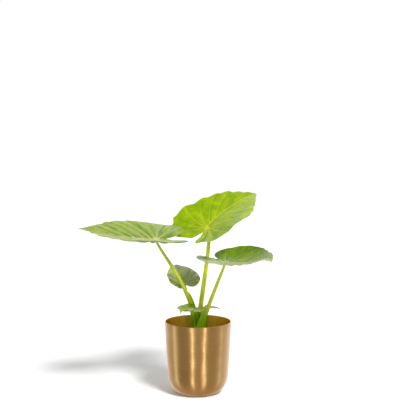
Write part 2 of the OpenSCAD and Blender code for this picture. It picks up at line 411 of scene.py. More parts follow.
def soil_material():
    """Damp peat."""
    material, tree = new_material("peat")
    points = object_points(tree)
    lumps = cloud(tree, points, 260, 5, 0.7)
    damp = cloud(tree, points, 45, 3)
    colour = mixed(tree, spread(tree, lumps, 0.35, 0.7), rgb(0.022, 0.013, 0.008),
                   rgb(0.095, 0.058, 0.034))
    colour = mixed(tree, spread(tree, damp, 0.5, 0.75, 0, 0.5), colour, rgb(0.035, 0.021, 0.013))
    surface(tree, {"Base Color": colour, "Roughness": spread(tree, damp, 0.3, 0.7, 0.95, 0.7),
                   "Normal": bumped(tree, lumps, 0.0012, 0.9)})
    return material


def bark_material():
    """Weathered bark chips."""
    material, tree = new_material("bark_chip")
    points = object_points(tree)
    fibre = cloud(tree, scaled(tree, points, (500, 120, 300)), 1, 4)
    colour = mixed(tree, spread(tree, fibre, 0.3, 0.7), rgb(0.075, 0.036, 0.017),
                   rgb(0.24, 0.135, 0.066))
    surface(tree, {"Base Color": colour, "Roughness": 0.85,
                   "Normal": bumped(tree, fibre, 0.0005, 0.8)})
    return material


def perlite_material():
    """Grains of perlite."""
    material, tree = new_material("perlite")
    pores = cloud(tree, object_points(tree), 1400, 3)
    colour = mixed(tree, spread(tree, pores, 0.35, 0.65), rgb(0.52, 0.49, 0.43),
                   rgb(0.82, 0.80, 0.75))
    surface(tree, {"Base Color": colour, "Roughness": 0.9,
                   "Normal": bumped(tree, pores, 0.0003, 0.7)})
    return material


def chip_shape(seed, stretch):
    """One worn chip or grain: a cube with bevelled, uneven faces. Returns its points and faces."""
    deselect()
    bpy.ops.mesh.primitive_cube_add(size=1, location=(0, 0, 0))
    chip = bpy.context.object
    bpy.ops.object.mode_set(mode="EDIT")
    bpy.ops.mesh.select_all(action="SELECT")
    bpy.ops.mesh.bevel(offset=0.16, segments=1, affect="EDGES")
    bpy.ops.object.mode_set(mode="OBJECT")
    points = [Vector(point.co) for point in chip.data.vertices]
    faces = [list(face.vertices) for face in chip.data.polygons]
    bpy.data.objects.remove(chip)
    shaped = []
    for point in points:
        push = noise.noise(point * 2.3 + Vector((seed * 7.3, seed * 1.9, 0)))
        shaped.append(Vector([point[axis] * stretch[axis] * (1 + 0.45 * push) for axis in range(3)]))
    return shaped, faces


def scatter(rng, shapes, count, low_size, high_size, lift):
    """Copies of the shapes strewn over the mix: points, faces, in a ring round the corm."""
    points, faces = [], []
    edge = pot_mix_radius(MIX_TOP) - 0.004
    for _ in range(count):
        shape, shape_faces = rng.choice(shapes)
        size = rng.uniform(low_size, high_size)
        away = math.sqrt(rng.uniform((CORM_TOP_R + 0.004) ** 2, edge ** 2))
        turn = rng.uniform(0, 2 * math.pi)
        yaw, tip = rng.uniform(0, 2 * math.pi), rng.uniform(-0.5, 0.5)
        place = Vector((away * math.cos(turn), away * math.sin(turn), 0))
        place.z = mix_height(place.x, place.y) + size * lift
        start = len(points)
        for point in shape:
            x, y, z = point * size
            y, z = y * math.cos(tip) - z * math.sin(tip), y * math.sin(tip) + z * math.cos(tip)
            x, y = x * math.cos(yaw) - y * math.sin(yaw), x * math.sin(yaw) + y * math.cos(yaw)
            points.append(place + Vector((x, y, z)))
        faces += [[start + index for index in face] for face in shape_faces]
    return points, faces


def pot_mix_radius(height):
    """The mix's radius at a height, just inside the grower's pot."""
    low, high = GROWER_LOW.z + GROWER_FLOOR, GROWER_HIGH.z
    base_r = GROWER_BASE_R - GROWER_WALL
    rim_r = GROWER_HIGH.x - LIP_WIDTH - GROWER_WALL
    return base_r + (rim_r - base_r) * (height - low) / (high - low) - MIX_GAP


def mix_height(x, y):
    """The uneven top of the mix, mounded a little round the corm."""
    away = math.hypot(x, y)
    lumps = 0.0022 * noise.noise(Vector((x, y, 0.3)) * 55)
    crumbs = 0.0012 * noise.noise(Vector((x, y, 2)) * 160)
    return MIX_TOP - 0.0025 + (lumps + crumbs) + 0.004 * math.exp(-((away - CORM_TOP_R) / 0.018) ** 2)


def potting_mix():
    """A lumpy body of peat with bark chips and perlite strewn over its top."""
    low = GROWER_LOW.z + GROWER_FLOOR + MIX_GAP
    rings = [(0.03, low), (pot_mix_radius(low) - 0.001, low),
             (pot_mix_radius(low + 0.001), low + 0.001)]
    rings += [(pot_mix_radius(z), z) for z in np.linspace(low + 0.02, MIX_TOP - 0.004, 7)]
    edge = pot_mix_radius(MIX_TOP)
    rings += [(edge * share, MIX_TOP) for share in np.linspace(0.99, 0.03, 34)]
    piece = turned("potting_mix_body", rings, 120)
    for point in piece.data.vertices:
        if point.co.z > MIX_TOP - 0.001:
            point.co.z = mix_height(point.co.x, point.co.y)
    rng = random.Random(11)
    bark = [chip_shape(seed, (1.0, 0.55, 0.3)) for seed in range(6)]
    grains = [chip_shape(seed, (0.9, 0.8, 0.75)) for seed in range(6, 10)]
    pieces = [piece]
    for name, shapes, count, low_size, high_size, lift in (
            ("chips", bark, BARK_COUNT, 0.006, 0.015, 0.12),
            ("grains", grains, PERLITE_COUNT, 0.002, 0.0042, 0.3)):
        points, faces = scatter(rng, shapes, count, low_size, high_size, lift)
        pieces.append(make_piece("mix_" + name, points, faces))
    for part, material in zip(pieces, (soil_material(), bark_material(), perlite_material())):
        part.data.materials.append(material)
    pick(piece)
    for part in pieces[1:]:
        part.select_set(True)
    bpy.ops.object.join()
    smooth(piece, 50)
    return hand_over(piece, "potting_mix", "potting_mix")


def tube_faces(rings, sides):
    """Faces of a tube of so many rings of points, closed at both ends."""
    faces = []
    for index in range(rings - 1):
        for side in range(sides):
            here, there = index * sides + side, index * sides + (side + 1) % sides
            faces.append([here, there, there + sides, here + sides])
    faces.append(list(range(sides))[::-1])
    faces.append([(rings - 1) * sides + side for side in range(sides)])
    return faces


def tube(points, radii, sides):
    """Points and faces of a round tube along a line, closed at both ends."""
    points = [Vector(point) for point in points]
    rings = []
    for index, centre in enumerate(points):
        ahead = points[min(index + 1, len(points) - 1)] - points[max(index - 1, 0)]
        aside = Vector((0, 0, 1)) if abs(ahead.normalized().z) < 0.9 else Vector((0, 1, 0))
        right = ahead.cross(aside).normalized()
        up = right.cross(ahead).normalized()
        for side in range(sides):
            turn = 2 * math.pi * side / sides
            rings.append(centre + radii[index] * (math.cos(turn) * right + math.sin(turn) * up))
    return rings, tube_faces(len(points), sides)


def corm_material():
    """Fibrous brown skin with ring scars."""
    material, tree = new_material("corm_skin")
    points = object_points(tree)
    rings = cloud(tree, scaled(tree, points, (30, 30, 420)), 1, 3)
    fibre = cloud(tree, scaled(tree, points, (420, 420, 60)), 1, 3)
    colour = mixed(tree, spread(tree, rings, 0.35, 0.7), rgb(0.13, 0.075, 0.038),
                   rgb(0.34, 0.22, 0.12))
    colour = mixed(tree, spread(tree, fibre, 0.5, 0.8, 0, 0.6), colour, rgb(0.46, 0.36, 0.22))
    skin = bumped(tree, rings, 0.0010, 0.7)
    surface(tree, {"Base Color": colour, "Roughness": 0.75,
                   "Normal": bumped(tree, fibre, 0.0004, 0.6, skin)})
    return material


def corm_and_roots():
    """The corm with its scarred neck, and nine tapered roots that wander through the mix."""
    top = CORM_HIGH.z
    low = CORM_LOW.z
    bottom = top - CORM_BODY_H
    rings = [(0.004, bottom), (0.010, bottom + 0.0008), (CORM_NECK_R, bottom + 0.004)]
    for step in range(1, 30):
        share = step / 30
        radius = CORM_NECK_R + 0.0105 * math.sin(min(share * 1.9, 1) * math.pi / 2)
        scar = 0.0005 * math.sin(share * 30) * ease(0.3, 0.6, share)
        rings.append((radius + scar, bottom + 0.004 + (CORM_BODY_H - 0.006) * share))
    rings += [(CORM_TOP_R - 0.0004, top - 0.0012), (CORM_TOP_R - 0.0018, top - 0.0002),
              (0.016, top), (0.008, top)]
    piece = turned("corm_body", rings, 72)
    for point in piece.data.vertices:
        push = 1 + 0.035 * noise.noise(point.co * 90)
        point.co.x *= push
        point.co.y *= push
    rng = random.Random(5)
    points, faces = [], []
    root_z = bottom + 0.012
    for index in range(ROOT_COUNT):
        turn = math.radians(360 / ROOT_COUNT * index + 12)
        slope = math.radians(28 + 14 * (index % 3))
        line, radii = [], []
        for step in range(ROOT_STEPS + 1):
            share = step / ROOT_STEPS
            out = CORM_NECK_R - 0.0001 + ROOT_LENGTH * share * math.cos(slope)
            sway = turn + 0.10 * share * math.sin(5 * share + index)
            drop = ROOT_LENGTH * share * math.sin(slope) - 0.0012 * math.sin(9 * share + index)
            height = max(root_z - drop, low + 0.0012)
            line.append((out * math.cos(sway), out * math.sin(sway), height))
            radii.append((0.0017 - 0.0011 * share) * rng.uniform(0.93, 1.07))
        more, more_faces = tube(line, radii, 12)
        faces += [[len(points) + corner for corner in face] for face in more_faces]
        points += more
    roots = make_piece("roots", points, faces)
    pick(piece)
    roots.select_set(True)
    bpy.ops.object.join()
    smooth(piece, 60)
    return hand_over(piece, "corm_and_roots", "corm", corm_material())


# ---- Leaf shape -------------------------------------------------------------

NOTCH = 0.03                # gap of the notch behind the petiole, as a share of the length
STRAIGHT_SHARE = 0.72       # share of the midrib before its last bend
LEAF_SHEET = 0.0006         # thickness of a blade
FULL_WIDTH = ((1, 1, 1, 1), (1, 1, 1, 1))


def bezier(a, b, c, d, t):
    """Points on a cubic curve."""
    a, b, c, d = (np.array(point, float) for point in (a, b, c, d))
    t = np.asarray(t, float)[..., None]
    return (1 - t) ** 3 * a + 3 * (1 - t) ** 2 * t * b + 3 * (1 - t) * t * t * c + t ** 3 * d


def not_zero(turn):
    """A bend with a tiny value in place of none, so that it can be divided by."""
    return math.radians(turn) if abs(turn) > 0.001 else 0.00001


class Leaf:
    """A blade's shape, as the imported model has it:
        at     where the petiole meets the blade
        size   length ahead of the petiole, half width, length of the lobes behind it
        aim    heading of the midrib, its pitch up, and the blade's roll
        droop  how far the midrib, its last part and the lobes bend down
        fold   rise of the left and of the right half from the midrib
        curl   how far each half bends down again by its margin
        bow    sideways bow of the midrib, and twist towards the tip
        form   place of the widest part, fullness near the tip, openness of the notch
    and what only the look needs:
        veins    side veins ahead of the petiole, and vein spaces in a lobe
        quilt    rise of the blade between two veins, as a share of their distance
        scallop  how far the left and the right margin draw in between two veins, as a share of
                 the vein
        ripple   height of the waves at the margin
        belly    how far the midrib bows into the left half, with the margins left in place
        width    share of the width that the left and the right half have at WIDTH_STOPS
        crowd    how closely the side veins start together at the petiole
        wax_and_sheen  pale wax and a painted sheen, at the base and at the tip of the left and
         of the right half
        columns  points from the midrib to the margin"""

    def __init__(self, at, size, aim, droop, fold, curl, bow, form, veins=(7, 5), quilt=0.08,
                 scallop=(0.04, 0.04), ripple=0.0015, belly=0.0, width=FULL_WIDTH, crowd=1.1,
                 wax_and_sheen=((0.5, 0.5), (0.5, 0.5)), columns=40, seed=0):
        self.at = np.array(at)
        self.length, self.half_width, self.lobe = size
        self.aim, self.droop, self.fold, self.curl = aim, droop, fold, curl
        self.bow, self.form = bow, form
        self.front_veins, self.lobe_veins = veins
        self.quilt, self.scallop, self.ripple = quilt, scallop, ripple
        self.belly, self.width, self.crowd, self.wax_and_sheen = belly, width, crowd, wax_and_sheen
        self.columns, self.seed = columns, seed
        self.trace_margin()

    def trace_margin(self):
        """Half of the outline from the tip to the notch, with the share of its length so far."""
        length, width, lobe = self.length, self.half_width, self.lobe
        widest, full, gap = self.form
        t = np.linspace(0, 1, 120)
        back = bezier((-NOTCH * length, 0), (-NOTCH * length - 1.38 * lobe, gap * width),
                      (-1.22 * lobe, 1.02 * width), (widest * length, width), t)
        front = bezier((widest * length, width), ((widest + 0.4) * length, 0.98 * width),
                       (0.78 * length, full * 0.5 * width), (length, 0), t[1:])
        line = np.vstack([back, front])[::-1]
        run = np.concatenate([[0], np.cumsum(np.hypot(*np.diff(line, axis=0).T))])
        self.margin_line, self.margin_share = line, run / run[-1]

    def margin(self, share):
        """Points on the margin, as (ahead, across), by the share of the way from tip to notch."""
        return (np.interp(share, self.margin_share, self.margin_line[:, 0]),
                np.interp(share, self.margin_share, self.margin_line[:, 1]))

    def midrib(self, ahead):
        """The midrib's run, height and downward angle at a distance ahead of the petiole."""
        bend_at = STRAIGHT_SHARE * self.length
        main = not_zero(self.droop[0]) / bend_at
        last = not_zero(self.droop[1]) / (self.length - bend_at)
        back = not_zero(self.droop[2]) / self.lobe
        turn = main * bend_at
        angle = np.where(ahead < 0, back * ahead,
                         np.where(ahead < bend_at, main * ahead, turn + last * (ahead - bend_at)))
        run = np.where(ahead < 0, np.sin(back * ahead) / back,
                       np.where(ahead < bend_at, np.sin(main * ahead) / main,
                                math.sin(turn) / main + (np.sin(angle) - math.sin(turn)) / last))
        rise = np.where(ahead < 0, (np.cos(back * ahead) - 1) / back,
                        np.where(ahead < bend_at, (np.cos(main * ahead) - 1) / main,
                                 (math.cos(turn) - 1) / main
                                 + (np.cos(angle) - math.cos(turn)) / last))
        return run, rise, angle

    def placed(self, ahead, across, above, slide=0.0):
        """Room points of the flat blade's points, at a height above its upper face, and slid to
        the left."""
        left = across >= 0
        fold = np.radians(np.where(left, *self.fold))
        curl = np.where(left, *(not_zero(turn) for turn in self.curl)) / self.half_width
        away = np.abs(across)
        slope = fold - curl * away
        out = (np.sin(fold) - np.sin(slope)) / curl * np.where(left, 1, -1)
        rise = (np.cos(slope) - np.cos(fold)) / curl + above
        forward = np.maximum(ahead, 0)
        twist = math.radians(self.bow[1]) * forward / self.length
        side = out * np.cos(twist) - rise * np.sin(twist)
        lift = out * np.sin(twist) + rise * np.cos(twist)
        run, height, angle = self.midrib(ahead)
        x = run + lift * np.sin(angle)
        y = side + slide + math.radians(self.bow[0]) / 2 / self.length * forward ** 2
        z = height + lift * np.cos(angle)
        along, over, up = self.axes()
        return self.at + x[..., None] * along + y[..., None] * over + z[..., None] * up

    def axes(self):
        """Directions along the midrib, to its left, and up from the blade."""
        heading, pitch, roll = (math.radians(turn) for turn in self.aim)
        along = np.array([math.cos(heading) * math.cos(pitch), math.sin(heading) * math.cos(pitch),
                          math.sin(pitch)])
        level = np.array([-math.sin(heading), math.cos(heading), 0])
        up = np.cross(along, level)
        return (along, math.cos(roll) * level + math.sin(roll) * up,
                math.cos(roll) * up - math.sin(roll) * level)


# Lengths in metres, turns in degrees
LEAVES = {
    "crown": Leaf((0.029, -0.003, 0.499), (0.224, 0.126, 0.088), (41, 39, -16), (18, 10, -28),
                  (20, -14), (-30, -12), (5, 23), (0.02, 0.76, 0.13), veins=(7, 5), quilt=0.08,
                  scallop=(0.055, 0.012), ripple=0.0014, belly=0.020, crowd=1.7,
                  width=((0.955, 0.93, 1.05, 1), (1.07, 1.06, 1.02, 1)),
                  wax_and_sheen=((0.0, 0.35), (0.45, 0.6)), columns=44, seed=1),
    "left": Leaf((-0.121, -0.058, 0.4705), (0.234, 0.093, 0.093), (195, 4, -14), (-11, 3, -11),
                 (-1, 17), (-34, 8), (5, -5), (0.20, 0.39, 0.15), veins=(8, 4), quilt=0.10,
                 scallop=(0.04, 0.04), ripple=0.0008, crowd=1.35, wax_and_sheen=((0.75, 0.65), (0.45, 0.6)),
                 columns=44, seed=2),
    "right": Leaf((0.0814, -0.064, 0.4057), (0.213, 0.086, 0.072), (-37, -1, -21), (-9, 47, -26),
                  (23, -25), (-55, -15), (-44, 10), (0.15, 0.76, 0.06), veins=(8, 4), quilt=0.09,
                  scallop=(0.03, 0.03), ripple=0.0007, crowd=1.4, wax_and_sheen=((0.1, 0.65), (0.9, 0.85)),
                  columns=40, seed=3),
    "rear": Leaf((-0.040, 0.012, 0.3295), (0.112, 0.052, 0.024), (114, 31, -11), (11, 10, 9),
                 (23, 13), (9, 14), (-10, 8), (0.15, 0.55, 0.10), veins=(6, 3), quilt=0.13,
                 scallop=(0.03, 0.03), ripple=0.0006, crowd=1.3, wax_and_sheen=((0.75, 0.7), (0.85, 1.0)),
                 columns=32, seed=4),
    "low_left": Leaf((-0.0183, -0.056, 0.2629), (0.093, 0.038, 0.034), (239, -2, -6), (-22, 68, -8),
                     (3, 8), (0, 2), (22, 6), (0.07, 0.43, 0.08), veins=(6, 3), quilt=0.11,
                     scallop=(0.03, 0.03), ripple=0.0005, wax_and_sheen=((0.35, 0.4), (0.35, 0.6)),
                     columns=28, seed=5),
    "low_right": Leaf((0.031, 0.014, 0.2545), (0.038, 0.015, 0.016), (12, 4, 0), (12, 30, 10),
                      (14, 10), (10, 10), (0, 0), (0.06, 0.50, 0.15), veins=(5, 2), quilt=0.09,
                      scallop=(0.02, 0.02), ripple=0.0003, wax_and_sheen=((1, 1), (1, 1)), columns=20,
                      seed=6),
}


# ---- Blade meshes -----------------------------------------------------------

# Rows of points from one vein to the next, closer together by a vein
ROW_STEPS = (0, 0.045, 0.10, 0.18, 0.28, 0.39, 0.5, 0.61, 0.72, 0.82, 0.90, 0.955)
FRONT_MARGIN = 0.464                    # share of the margin ahead of the first lobe vein
WIDTH_STOPS = (0.40, 0.93, 1.07, 1.30)  # where a width is given: 0 is the tip, 1 the first lobe vein
WIDEST_QUILT = 0.034                    # vein spaces wider than this rise no further
RIB_LENGTH = 0.224                      # blade length that the next four sizes are given for
MIDRIB_R = (0.0029, 0.0006)             # by the petiole and at the tip
SIDE_RIB_R = (0.0013, 0.0003)           # by the midrib and at the margin
MIDRIB_SINK, SIDE_RIB_SINK = 0.0007, 0.0003     # depth of the veins in the upper face
BELLY_PEAK = 14.1                       # makes a belly's largest slide equal to its value
MARGIN_THIN = 0.35                      # share of its thickness that a blade has at its margin
SIDES = (1, -1)                         # of the midrib: the left half and the right half


def vein_paths(leaf, order, out):
    """Flat points, as (ahead, across), on the paths that the side veins follow. The order is 0 at
    the tip, a whole number on each vein, and highest at the notch; out is 0 at the midrib and 1 at
    the margin."""
    front, spaces = leaf.front_veins, leaf.lobe_veins
    forward = np.clip(order / front, 0, 1)
    behind = np.clip((order - front) / spaces, 0, 1)
    root = leaf.length * (1 - forward) ** leaf.crowd - NOTCH * leaf.length * behind ** 2
    share = FRONT_MARGIN * forward ** 1.7 + (1 - FRONT_MARGIN) * behind
    end_ahead, end_across = leaf.margin(share)
    pull_ahead = root + (0.36 + 0.14 * behind) * (end_ahead - root)
    pull_across = 0.58 * end_across
    ahead = (1 - out) ** 2 * root + 2 * out * (1 - out) * pull_ahead + out ** 2 * end_ahead
    across = 2 * out * (1 - out) * pull_across + out ** 2 * end_across
    return ahead, across


def blade_relief(leaf, order, out, ahead, across, half):
    """Height of the upper face, extra depth of the ribs below, and how much of a vein a point is."""
    step = 0.001
    near = vein_paths(leaf, order + step, out)
    far = vein_paths(leaf, order - step, out)
    spacing = np.hypot(near[0] - far[0], near[1] - far[1]) / (2 * step)
    inner = (order > 0.5) & (order < leaf.front_veins + leaf.lobe_veins - 0.5)
    off_vein = np.where(inner, np.abs(order - np.round(order)), 1) * spacing
    swell = np.abs(np.sin(math.pi * order)) ** 1.4
    reach = ease(0.0, 0.16, out) * (1 - 0.6 * ease(0.75, 1.0, out)) * np.clip(order / 3, 0.25, 1)
    quilt = leaf.quilt * np.minimum(spacing, WIDEST_QUILT) * swell * reach
    phase = leaf.seed * 1.7 + 0.9 * half
    wave = (np.sin(2 * math.pi * (0.37 * order + phase))
            + 0.6 * np.sin(2 * math.pi * (0.81 * order + phase)))
    rippled = leaf.ripple * wave * out ** 3 * np.clip(order / 4, 0.15, 1)
    size = leaf.length / RIB_LENGTH
    along = np.clip(ahead / leaf.length, -0.1, 1)
    rib_r = (0.35 + 0.65 * size) * np.interp(along, (0, 1), MIDRIB_R)
    middle = np.exp(-(across / (1.1 * rib_r)) ** 2)
    side_r = (0.4 + 0.6 * size) * np.interp(out, (0, 1), SIDE_RIB_R)
    side_rib = np.exp(-(off_vein / (1.3 * side_r)) ** 2) * ease(0, 0.02, out)
    above = quilt + rippled - size * (MIDRIB_SINK * middle + SIDE_RIB_SINK * side_rib)
    below = 1.35 * rib_r * middle * ease(-NOTCH, 0.0, along) + 1.2 * side_r * side_rib
    junction = np.exp(-(np.hypot(ahead, across) / (0.011 * size + 0.002)) ** 2)
    vein = np.maximum.reduce([middle, 0.92 * side_rib * (1 - 0.45 * out), junction])
    return above, below, vein


def blade_sheets(leaf, half):
    """Upper and lower points of the left half (0) or the right half (1), with the stored values,
    as grids of rows and columns."""
    side = SIDES[half]
    last = leaf.front_veins + leaf.lobe_veins
    rows = [space + step for space in range(last) for step in ROW_STEPS] + [last]
    columns = (np.arange(leaf.columns + 1) / leaf.columns) ** 1.45
    order, out = np.meshgrid(rows, columns, indexing="ij")
    scallop = leaf.scallop[half] * np.clip(order / 4, 0.12, 1)
    drawn_in = out * (1 - scallop * np.sin(math.pi * order) ** 2 * out ** 3)
    ahead, across = vein_paths(leaf, order, drawn_in)
    above, below, vein = blade_relief(leaf, order, out, ahead, across, half)
    forward = np.clip(1 - order / leaf.front_veins, 0, 1)
    slide = leaf.belly * BELLY_PEAK * forward ** 1.5 * (1 - forward) ** 2.5 * (1 - out)
    wide = np.interp(order / leaf.front_veins, WIDTH_STOPS, leaf.width[half])
    across = across * (1 + (wide - 1) * out)
    thick = LEAF_SHEET * np.where(out < 1, 1, MARGIN_THIN) + below
    upper = leaf.placed(ahead, side * across, above, slide)
    lower = leaf.placed(ahead, side * across, above - thick, slide)
    return upper, lower, order, out, vein


def grid_faces(start, rows, columns):
    """Four-cornered faces between the points of a grid, numbered row by row."""
    first = start + np.arange(rows - 1)[:, None] * columns + np.arange(columns - 1)
    corners = np.stack([first, first + 1, first + columns + 1, first + columns], -1)
    return corners.reshape(-1, 4)


def blade(name, leaf, slot, upper_material, under_material):
    """A quilted blade with a sunken vein net above, ribs below and a thin closed margin."""
    points, faces, grain, wax_and_sheen, veins, under = [], [], [], [], [], []
    start = 0
    for half, side in enumerate(SIDES):
        upper, lower, order, out, vein = blade_sheets(leaf, half)
        rows, columns = order.shape
        count = rows * columns
        # Painted sheen: each half gets its own amount of pale wax and painted sheen, from the base to
        # the tip, stored for the material.
        base, tip = leaf.wax_and_sheen[half]
        near_tip = np.clip(1 - order / leaf.front_veins, 0, 1)
        along_veins = np.stack([order * side, out, np.full_like(out, side * 0.5)], -1)
        for sheet, beneath in ((upper, False), (lower, True)):
            points.append(sheet.reshape(-1, 3))
            grain.append(along_veins.reshape(-1, 3))
            wax_and_sheen.append((base + (tip - base) * near_tip).ravel())
            veins.append(vein.ravel())
            under.append(np.full(count, beneath))
        faces.append(grid_faces(start, rows, columns))
        faces.append(grid_faces(start + count, rows, columns))
        rim = start + np.arange(rows) * columns + columns - 1
        faces.append(np.stack([rim[:-1], rim[1:], rim[1:] + count, rim[:-1] + count], -1))
        start += 2 * count
    faces = np.vstack(faces)
    piece = make_piece(name, np.vstack(points).tolist(), faces.tolist())
    add_point_values(piece, "vein", np.concatenate(veins))
    add_point_values(piece, "wax_and_sheen", np.concatenate(wax_and_sheen))
    add_point_values(piece, "grain", np.vstack(grain))
    wears_under = np.concatenate(under)[faces].all(axis=1)
    piece.data.polygons.foreach_set("material_index", wears_under.astype(np.int32))
    close_up(piece)
    smooth(piece, 80)
    return hand_over(piece, name.replace("_leaf", "_blade"), slot, upper_material, under_material)


# ---- Petioles ---------------------------------------------------------------

STALK_SIDES = 56
STALK_RINGS = 90
GROOVE_SPREAD = 0.55        # half angle of the groove on the stalk's open side, in radians
RIDGE_COUNT = 11
WING_AT = 1.25              # angle from the open side to each wing of the sheath, in radians
WING_SPREAD = 0.13
WING_OUT, WING_IN = 0.40, 0.85      # how far a wing stands out, and folds over the open side
COLLARS = ((STALK_RINGS - 1, 1.12), (STALK_RINGS, 1.55))    # last rings, flared into the blade


class Stalk:
    """A petiole's curve and sheath: its foot on the corm, the two pulls of its curve, its radius
    at the foot and under the blade, the heading that its sheath opens to, the height where the
    sheath ends, the sheath's width, and its tone from 0 to 1: yellower and brighter for a younger,
    fresher stalk, partly its own colour and partly painted light that brightens a shaded stalk
    and darkens a sunlit one."""

    def __init__(self, foot, lower_pull, upper_pull, radii, opens, sheath_top, sheath_width, youth_and_painted_light):
        self.foot, self.lower_pull, self.upper_pull, self.radii = foot, lower_pull, upper_pull, radii
        self.opens, self.sheath_top, self.sheath_width = opens, sheath_top, sheath_width
        self.youth_and_painted_light = youth_and_painted_light


STALKS = {
    "crown": Stalk((0.001, 0.011), (-0.006, 0.006, 0.217), (0.041, 0, 0.437), (0.0085, 0.0044),
                   60, 0.262, 0.009, 1.0),
    "left": Stalk((-0.009, -0.003), (0.008, -0.010, 0.295), (-0.117, -0.037, 0.435), (0.0075, 0.0033),
                  8, 0.318, 0.0135, 0.25),
    "right": Stalk((0.011, -0.009), (-0.008, -0.015, 0.187), (0.082, -0.042, 0.392), (0.008, 0.003),
                   176, 0.275, 0.017, 0.5),
    "rear": Stalk((-0.015, 0.0095), (-0.012, 0.012, 0.225), (-0.031, 0.014, 0.292), (0.004, 0.0024),
                  -30, 0.235, 0.003, 0.4),
    "low_left": Stalk((-0.008, -0.017), (-0.010, -0.020, 0.205), (-0.015, -0.042, 0.243),
                      (0.004, 0.0022), 60, 0.215, 0.003, 0.3),
    "low_right": Stalk((0.016, 0.006), (0.020, 0.008, 0.205), (0.027, 0.013, 0.235),
                       (0.0038, 0.002), 190, 0.210, 0.003, 0.3),
}


def stalk_ring(stalk, centre, direction, radius, below):
    """A ring of points round the stalk, the angle of each from the open side, and how much it is
    sheath. Below is 0 where the sheath ends and 1 at the foot."""
    turn = 2 * math.pi * np.arange(STALK_SIDES) / STALK_SIDES
    turn = (turn + math.pi) % (2 * math.pi) - math.pi
    opens = math.radians(stalk.opens)
    open_way = np.array([math.cos(opens), math.sin(opens), 0])
    inward = open_way - open_way @ direction * direction
    inward /= np.linalg.norm(inward)
    across = np.cross(direction, inward)
    outward = np.cos(turn)[:, None] * inward + np.sin(turn)[:, None] * across
    wide = float(ease(0.0, 0.16, below)) * (0.55 + 0.45 * max(below, 0))
    groove = 1 - (0.10 + 0.18 * wide) * np.exp(-(turn / GROOVE_SPREAD) ** 2)
    groove += 0.012 * np.cos(RIDGE_COUNT * turn)
    wing = np.exp(-((np.abs(turn) - WING_AT) / WING_SPREAD) ** 2)
    reach = stalk.sheath_width * wide * wing
    ring = centre + radius * groove[:, None] * outward
    ring += reach[:, None] * (WING_OUT * outward + WING_IN * inward)
    return ring, turn, np.clip(wing * 1.4, 0, 1) * wide + 0.35 * wide


def petiole(name, stalk, leaf, material):
    """A grooved stalk whose lower part widens into a sheath with two thin wings."""
    start = np.array([*stalk.foot, CORM_HIGH.z - 0.0005])
    end = leaf.placed(np.zeros(1), np.zeros(1), np.full(1, -LEAF_SHEET - stalk.radii[1] * 0.9))[0]
    share = np.linspace(0, 1, STALK_RINGS + 1)
    centre = bezier(start, stalk.lower_pull, stalk.upper_pull, end, share)
    tangent = np.gradient(centre, axis=0)
    tangent /= np.linalg.norm(tangent, axis=1)[:, None]
    radius = stalk.radii[1] + (stalk.radii[0] - stalk.radii[1]) * (1 - share) ** 0.8
    run = np.concatenate([[0], np.cumsum(np.linalg.norm(np.diff(centre, axis=0), axis=1))])
    points, grain, sheath = [], [], []
    for index in range(STALK_RINGS + 1):
        below = (stalk.sheath_top - centre[index][2]) / (stalk.sheath_top - start[2])
        ring, turn, part = stalk_ring(stalk, centre[index], tangent[index], radius[index], below)
        points.append(ring)
        sheath.append(part)
        along = np.full(STALK_SIDES, run[index] * 30)
        grain.append(np.stack([np.cos(turn), np.sin(turn), along], -1))
    up = leaf.axes()[2]
    level = leaf.placed(np.zeros(1), np.zeros(1), np.full(1, -LEAF_SHEET * 0.6))[0]
    for index, grow in COLLARS:
        lift = (points[index] - centre[index]) * grow
        if index == STALK_RINGS:
            lift -= (lift @ up)[:, None] * up
            points[index] = level + lift
        else:
            points[index] = centre[index] + lift
    piece = make_piece(name, np.vstack(points).tolist(), tube_faces(STALK_RINGS + 1, STALK_SIDES))
    add_point_values(piece, "grain", np.vstack(grain))
    add_point_values(piece, "sheath", np.concatenate(sheath))
    add_point_values(piece, "youth_and_painted_light", np.full(STALK_SIDES * (STALK_RINGS + 1), stalk.youth_and_painted_light))
    smooth(piece, 70)
    return hand_over(piece, name.replace("_stalk", "_petiole"), "stalk", material)


# ---- Leaf and stalk materials -----------------------------------------------

